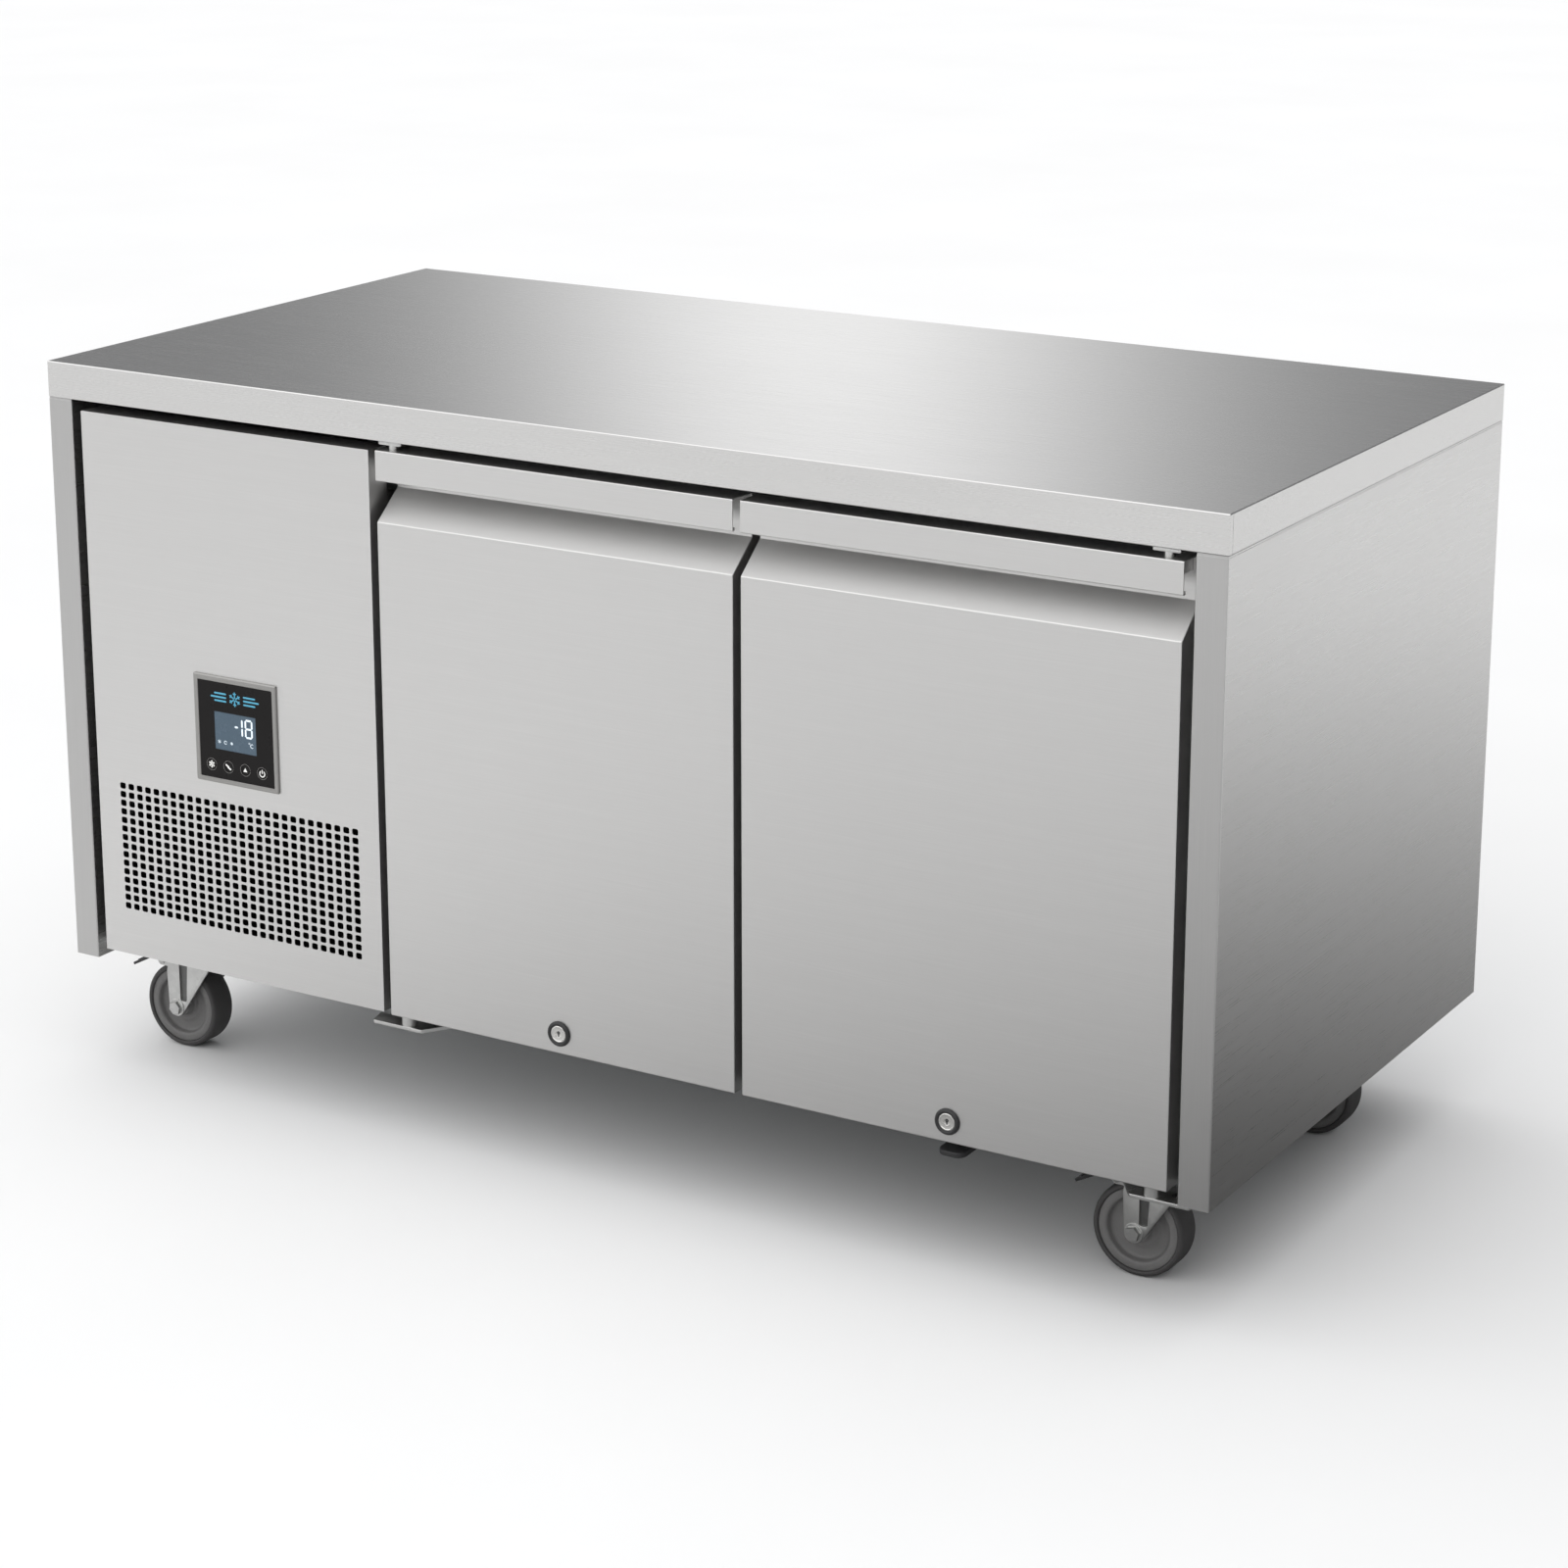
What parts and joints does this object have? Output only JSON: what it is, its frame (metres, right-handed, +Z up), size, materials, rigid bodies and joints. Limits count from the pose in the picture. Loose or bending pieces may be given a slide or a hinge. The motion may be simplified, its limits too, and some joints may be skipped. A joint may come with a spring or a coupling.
{
  "type": "undercounter refrigerator",
  "caption": "Stainless undercounter refrigerator with hinged doors, finger-grip handles, locks, a grilled machine compartment, controller and swivel casters.",
  "frame": {"origin": "centre of the footprint on the floor, at the bottom of the wheels", "axes": "+X along the counter to the right seen from the front, +Y from the doors to the back, +Z up"},
  "size_m": [1.415, 0.7034, 0.815],
  "materials": {
    "brushed_stainless": "satin",
    "inner_stainless": "satin",
    "galvanised_sheet": "satin",
    "zinc_steel": "satin",
    "hinge_steel": "satin",
    "lock_chrome": "polished",
    "bezel_metal": "satin",
    "shelf_wire": "satin",
    "coil_aluminium": "satin",
    "fan_aluminium": "satin",
    "copper": "satin",
    "black_enamel": "satin",
    "black_gloss": "gloss",
    "black_plastic": "matte",
    "black_rubber": "matte",
    "wheel_grey": "matte",
    "tyre_grey": "matte",
    "display": "gloss",
    "foam": "matte"
  },
  "bodies": {
    "root": {"base_panel": "galvanised_sheet", "body_insulation": "foam", "cable_gland": "black_plastic", "caster_bolts": "zinc_steel", "caster_plates": "zinc_steel", "compressor": "black_enamel", "condenser_coil": "coil_aluminium", "condenser_fan_shroud": "galvanised_sheet", "control_box": "galvanised_sheet", "controller_bezel": "bezel_metal", "controller_face": "black_gloss", "display_screen": "display", "divider_panel": "galvanised_sheet", "door_hinges": "hinge_steel", "evaporator_coil": "coil_aluminium", "evaporator_cover": "inner_stainless", "fan_motors": "black_enamel", "front_frame": "inner_stainless", "inner_liner": "inner_stainless", "lock_strike": "black_plastic", "machine_front_panel": "brushed_stainless", "rear_casing": "galvanised_sheet", "refrigerant_pipes": "copper", "shelf_uprights": "inner_stainless", "side_panel_left": "brushed_stainless", "side_panel_right": "brushed_stainless", "wire_shelves": "shelf_wire", "worktop": "brushed_stainless"},
    "door_left": {"door_left_foam": "foam", "door_left_gasket": "black_rubber", "door_left_liner": "inner_stainless", "door_left_skin": "brushed_stainless", "lock_left_bezel": "black_plastic"},
    "lock_left": {"lock_left_cylinder": "lock_chrome"},
    "door_right": {"door_right_foam": "foam", "door_right_gasket": "black_rubber", "door_right_liner": "inner_stainless", "door_right_skin": "brushed_stainless", "lock_right_bezel": "black_plastic"},
    "lock_right": {"lock_right_cylinder": "lock_chrome"},
    "key_1": {"key_1": "black_gloss"},
    "key_2": {"key_2": "black_gloss"},
    "key_3": {"key_3": "black_gloss"},
    "key_4": {"key_4": "black_gloss"},
    "condenser_fan": {"condenser_fan": "fan_aluminium"},
    "evaporator_fan": {"evaporator_fan": "fan_aluminium"},
    "caster_front_left_swivel": {"caster_front_left_fork": "zinc_steel"},
    "caster_front_left_wheel": {"caster_front_left_wheel": "wheel_grey", "caster_front_left_tyre": "tyre_grey"},
    "caster_front_left_pedal": {"caster_front_left_pedal": "black_plastic"},
    "caster_front_right_swivel": {"caster_front_right_fork": "zinc_steel"},
    "caster_front_right_wheel": {"caster_front_right_wheel": "wheel_grey", "caster_front_right_tyre": "tyre_grey"},
    "caster_front_right_pedal": {"caster_front_right_pedal": "black_plastic"},
    "caster_rear_left_swivel": {"caster_rear_left_fork": "zinc_steel"},
    "caster_rear_left_wheel": {"caster_rear_left_wheel": "wheel_grey", "caster_rear_left_tyre": "tyre_grey"},
    "caster_rear_right_swivel": {"caster_rear_right_fork": "zinc_steel"},
    "caster_rear_right_wheel": {"caster_rear_right_wheel": "wheel_grey", "caster_rear_right_tyre": "tyre_grey"}
  },
  "joints": [
    {"name": "door_left", "type": "hinge", "parent": "root", "child": "door_left", "pos_m": [-0.2465, -0.33625, 0.45], "axis": [0, 0, -1], "range_deg": [0, 100]},
    {"name": "lock_left", "type": "hinge", "parent": "door_left", "child": "lock_left", "pos_m": [-0.042, -0.34825, 0.1615], "axis": [0, 1, 0], "range_deg": [0, 90]},
    {"name": "door_right", "type": "hinge", "parent": "root", "child": "door_right", "pos_m": [0.6425, -0.33625, 0.45], "axis": [0, 0, 1], "range_deg": [0, 100]},
    {"name": "lock_right", "type": "hinge", "parent": "door_right", "child": "lock_right", "pos_m": [0.4229, -0.34825, 0.1615], "axis": [0, 1, 0], "range_deg": [0, 90]},
    {"name": "key_1_press", "type": "slide", "parent": "root", "child": "key_1", "axis": [0, 1, 0], "range_m": [0, 0.0008], "stiffness_N_per_m": 600},
    {"name": "key_2_press", "type": "slide", "parent": "root", "child": "key_2", "axis": [0, 1, 0], "range_m": [0, 0.0008], "stiffness_N_per_m": 600},
    {"name": "key_3_press", "type": "slide", "parent": "root", "child": "key_3", "axis": [0, 1, 0], "range_m": [0, 0.0008], "stiffness_N_per_m": 600},
    {"name": "key_4_press", "type": "slide", "parent": "root", "child": "key_4", "axis": [0, 1, 0], "range_m": [0, 0.0008], "stiffness_N_per_m": 600},
    {"name": "condenser_fan_spin", "type": "hinge", "parent": "root", "child": "condenser_fan", "pos_m": [-0.4725, -0.21525, 0.27], "axis": [0, 1, 0], "continuous": true},
    {"name": "evaporator_fan_spin", "type": "hinge", "parent": "root", "child": "evaporator_fan", "pos_m": [0.1775, 0.22575, 0.61], "axis": [0, 1, 0], "continuous": true},
    {"name": "caster_front_left_swivel", "type": "hinge", "parent": "root", "child": "caster_front_left_swivel", "pos_m": [-0.6115, -0.24425, 0.11], "axis": [0, 0, 1], "continuous": true},
    {"name": "caster_front_left_spin", "type": "hinge", "parent": "caster_front_left_swivel", "child": "caster_front_left_wheel", "pos_m": [-0.6315, -0.24425, 0.05], "axis": [0, 1, 0], "continuous": true},
    {"name": "caster_front_left_brake", "type": "hinge", "parent": "caster_front_left_swivel", "child": "caster_front_left_pedal", "pos_m": [-0.6515, -0.24425, 0.104], "axis": [0, -1, 0], "range_deg": [0, 15]},
    {"name": "caster_front_right_swivel", "type": "hinge", "parent": "root", "child": "caster_front_right_swivel", "pos_m": [0.6115, -0.24425, 0.11], "axis": [0, 0, 1], "continuous": true},
    {"name": "caster_front_right_spin", "type": "hinge", "parent": "caster_front_right_swivel", "child": "caster_front_right_wheel", "pos_m": [0.5915, -0.24425, 0.05], "axis": [0, 1, 0], "continuous": true},
    {"name": "caster_front_right_brake", "type": "hinge", "parent": "caster_front_right_swivel", "child": "caster_front_right_pedal", "pos_m": [0.5715, -0.24425, 0.104], "axis": [0, -1, 0], "range_deg": [0, 15]},
    {"name": "caster_rear_left_swivel", "type": "hinge", "parent": "root", "child": "caster_rear_left_swivel", "pos_m": [-0.6115, 0.18375, 0.11], "axis": [0, 0, 1], "continuous": true},
    {"name": "caster_rear_left_spin", "type": "hinge", "parent": "caster_rear_left_swivel", "child": "caster_rear_left_wheel", "pos_m": [-0.6315, 0.18375, 0.05], "axis": [0, 1, 0], "continuous": true},
    {"name": "caster_rear_right_swivel", "type": "hinge", "parent": "root", "child": "caster_rear_right_swivel", "pos_m": [0.6115, 0.18375, 0.11], "axis": [0, 0, 1], "continuous": true},
    {"name": "caster_rear_right_spin", "type": "hinge", "parent": "caster_rear_right_swivel", "child": "caster_rear_right_wheel", "pos_m": [0.5915, 0.18375, 0.05], "axis": [0, 1, 0], "continuous": true}
  ]
}
